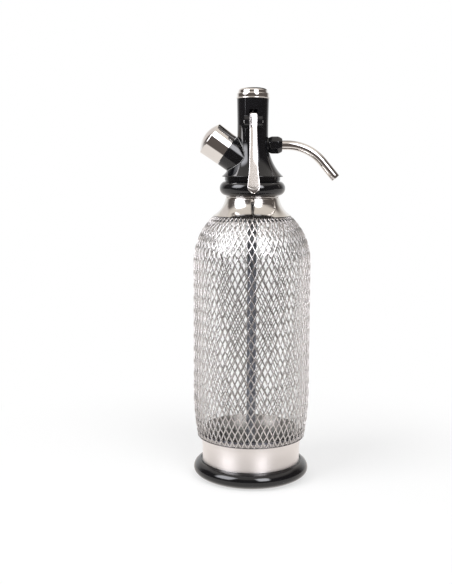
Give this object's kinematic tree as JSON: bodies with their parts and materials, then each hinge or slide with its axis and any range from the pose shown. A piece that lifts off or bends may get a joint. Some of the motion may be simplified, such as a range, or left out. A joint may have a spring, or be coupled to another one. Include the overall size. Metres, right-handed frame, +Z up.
{
  "type": "soda siphon",
  "caption": "Glass soda siphon in a steel mesh sleeve, with a screw-on black head, sprung dispensing lever, curved spout and slanted screw-in charger holder.",
  "frame": {"origin": "on the bottle's axis, on the flat underside of the base that the siphon stands on", "axes": "+Z up along the bottle's axis, +X towards the spout, -Y towards the lever, -X towards the charger holder"},
  "size_m": [0.1234, 0.1004, 0.3339],
  "materials": {
    "clear_glass": "clear, polished",
    "steel_mesh": "bright flat wire",
    "black_plastic": "high gloss moulded",
    "rubber": "matt",
    "satin_steel": "satin",
    "polished_steel": "polished",
    "brass": "machined",
    "chrome": "mirror polished",
    "satin_chrome": "satin",
    "plain_steel": "plain",
    "grey_plastic": "smooth tube",
    "clear_plastic": "clear tube"
  },
  "bodies": {
    "bottle": {"glass_bottle": "clear_glass", "mesh_sleeve": "steel_mesh", "base_ring": "black_plastic", "base_cushion": "rubber", "foot_pad": "rubber", "base_band": "satin_steel", "shoulder_collar": "polished_steel", "neck_ring": "brass"},
    "gasket": {"head_gasket": "rubber"},
    "head": {"head_body": "black_plastic", "head_insert": "chrome", "riser_tube": "grey_plastic", "riser_seal": "rubber", "measuring_tube": "clear_plastic", "lever_pin": "plain_steel", "cap_plug": "black_plastic", "top_cap": "chrome", "gland_washer": "brass", "gland_ring": "rubber", "gland_bush": "brass", "spout_tube": "chrome", "spout_seal": "rubber", "spout_nut": "black_plastic", "piercing_pin": "plain_steel", "charger_seal": "rubber"},
    "lever": {"lever": "satin_chrome"},
    "valve": {"valve_stem": "brass", "valve_seal": "rubber", "valve_spring": "plain_steel"},
    "charger": {"co2_charger": "plain_steel"},
    "charger_holder": {"holder_cap": "chrome", "holder_sleeve": "brass"}
  },
  "joints": [
    {"name": "head_rise", "type": "slide", "parent": "bottle", "child": "gasket", "axis": [0, 0, 1], "range_m": [0, 0.00876]},
    {"name": "head_turn", "type": "hinge", "parent": "gasket", "child": "head", "pos_m": [0, 0, 0.25], "axis": [0, 0, 1], "range_deg": [0, 1260]},
    {"name": "lever_press", "type": "hinge", "parent": "head", "child": "lever", "pos_m": [0, -0.0155, 0.305], "axis": [1, 0, 0], "range_deg": [0, 10], "stiffness_Nm_per_rad": 0.05, "springref_deg": -11.46},
    {"name": "valve_lift", "type": "slide", "parent": "head", "child": "valve", "axis": [0, 0, 1], "range_m": [0, 0.0028], "deforming": ["valve_spring"]},
    {"name": "charger_feed", "type": "slide", "parent": "head", "child": "charger", "axis": [-0.8171, 0, 0.5764], "range_m": [0, 0.00801]},
    {"name": "holder_turn", "type": "hinge", "parent": "charger", "child": "charger_holder", "pos_m": [0, 0, 0.2666], "axis": [-0.8171, 0, 0.5764], "range_deg": [0, 1440]}
  ],
  "couplings": [
    {"joint": "head_rise", "follows": "head_turn", "m_per_rad": 0.00039789},
    {"joint": "valve_lift", "follows": "lever_press", "m_per_rad": 0.0155},
    {"joint": "charger_feed", "follows": "holder_turn", "m_per_rad": 0.00031831}
  ]
}
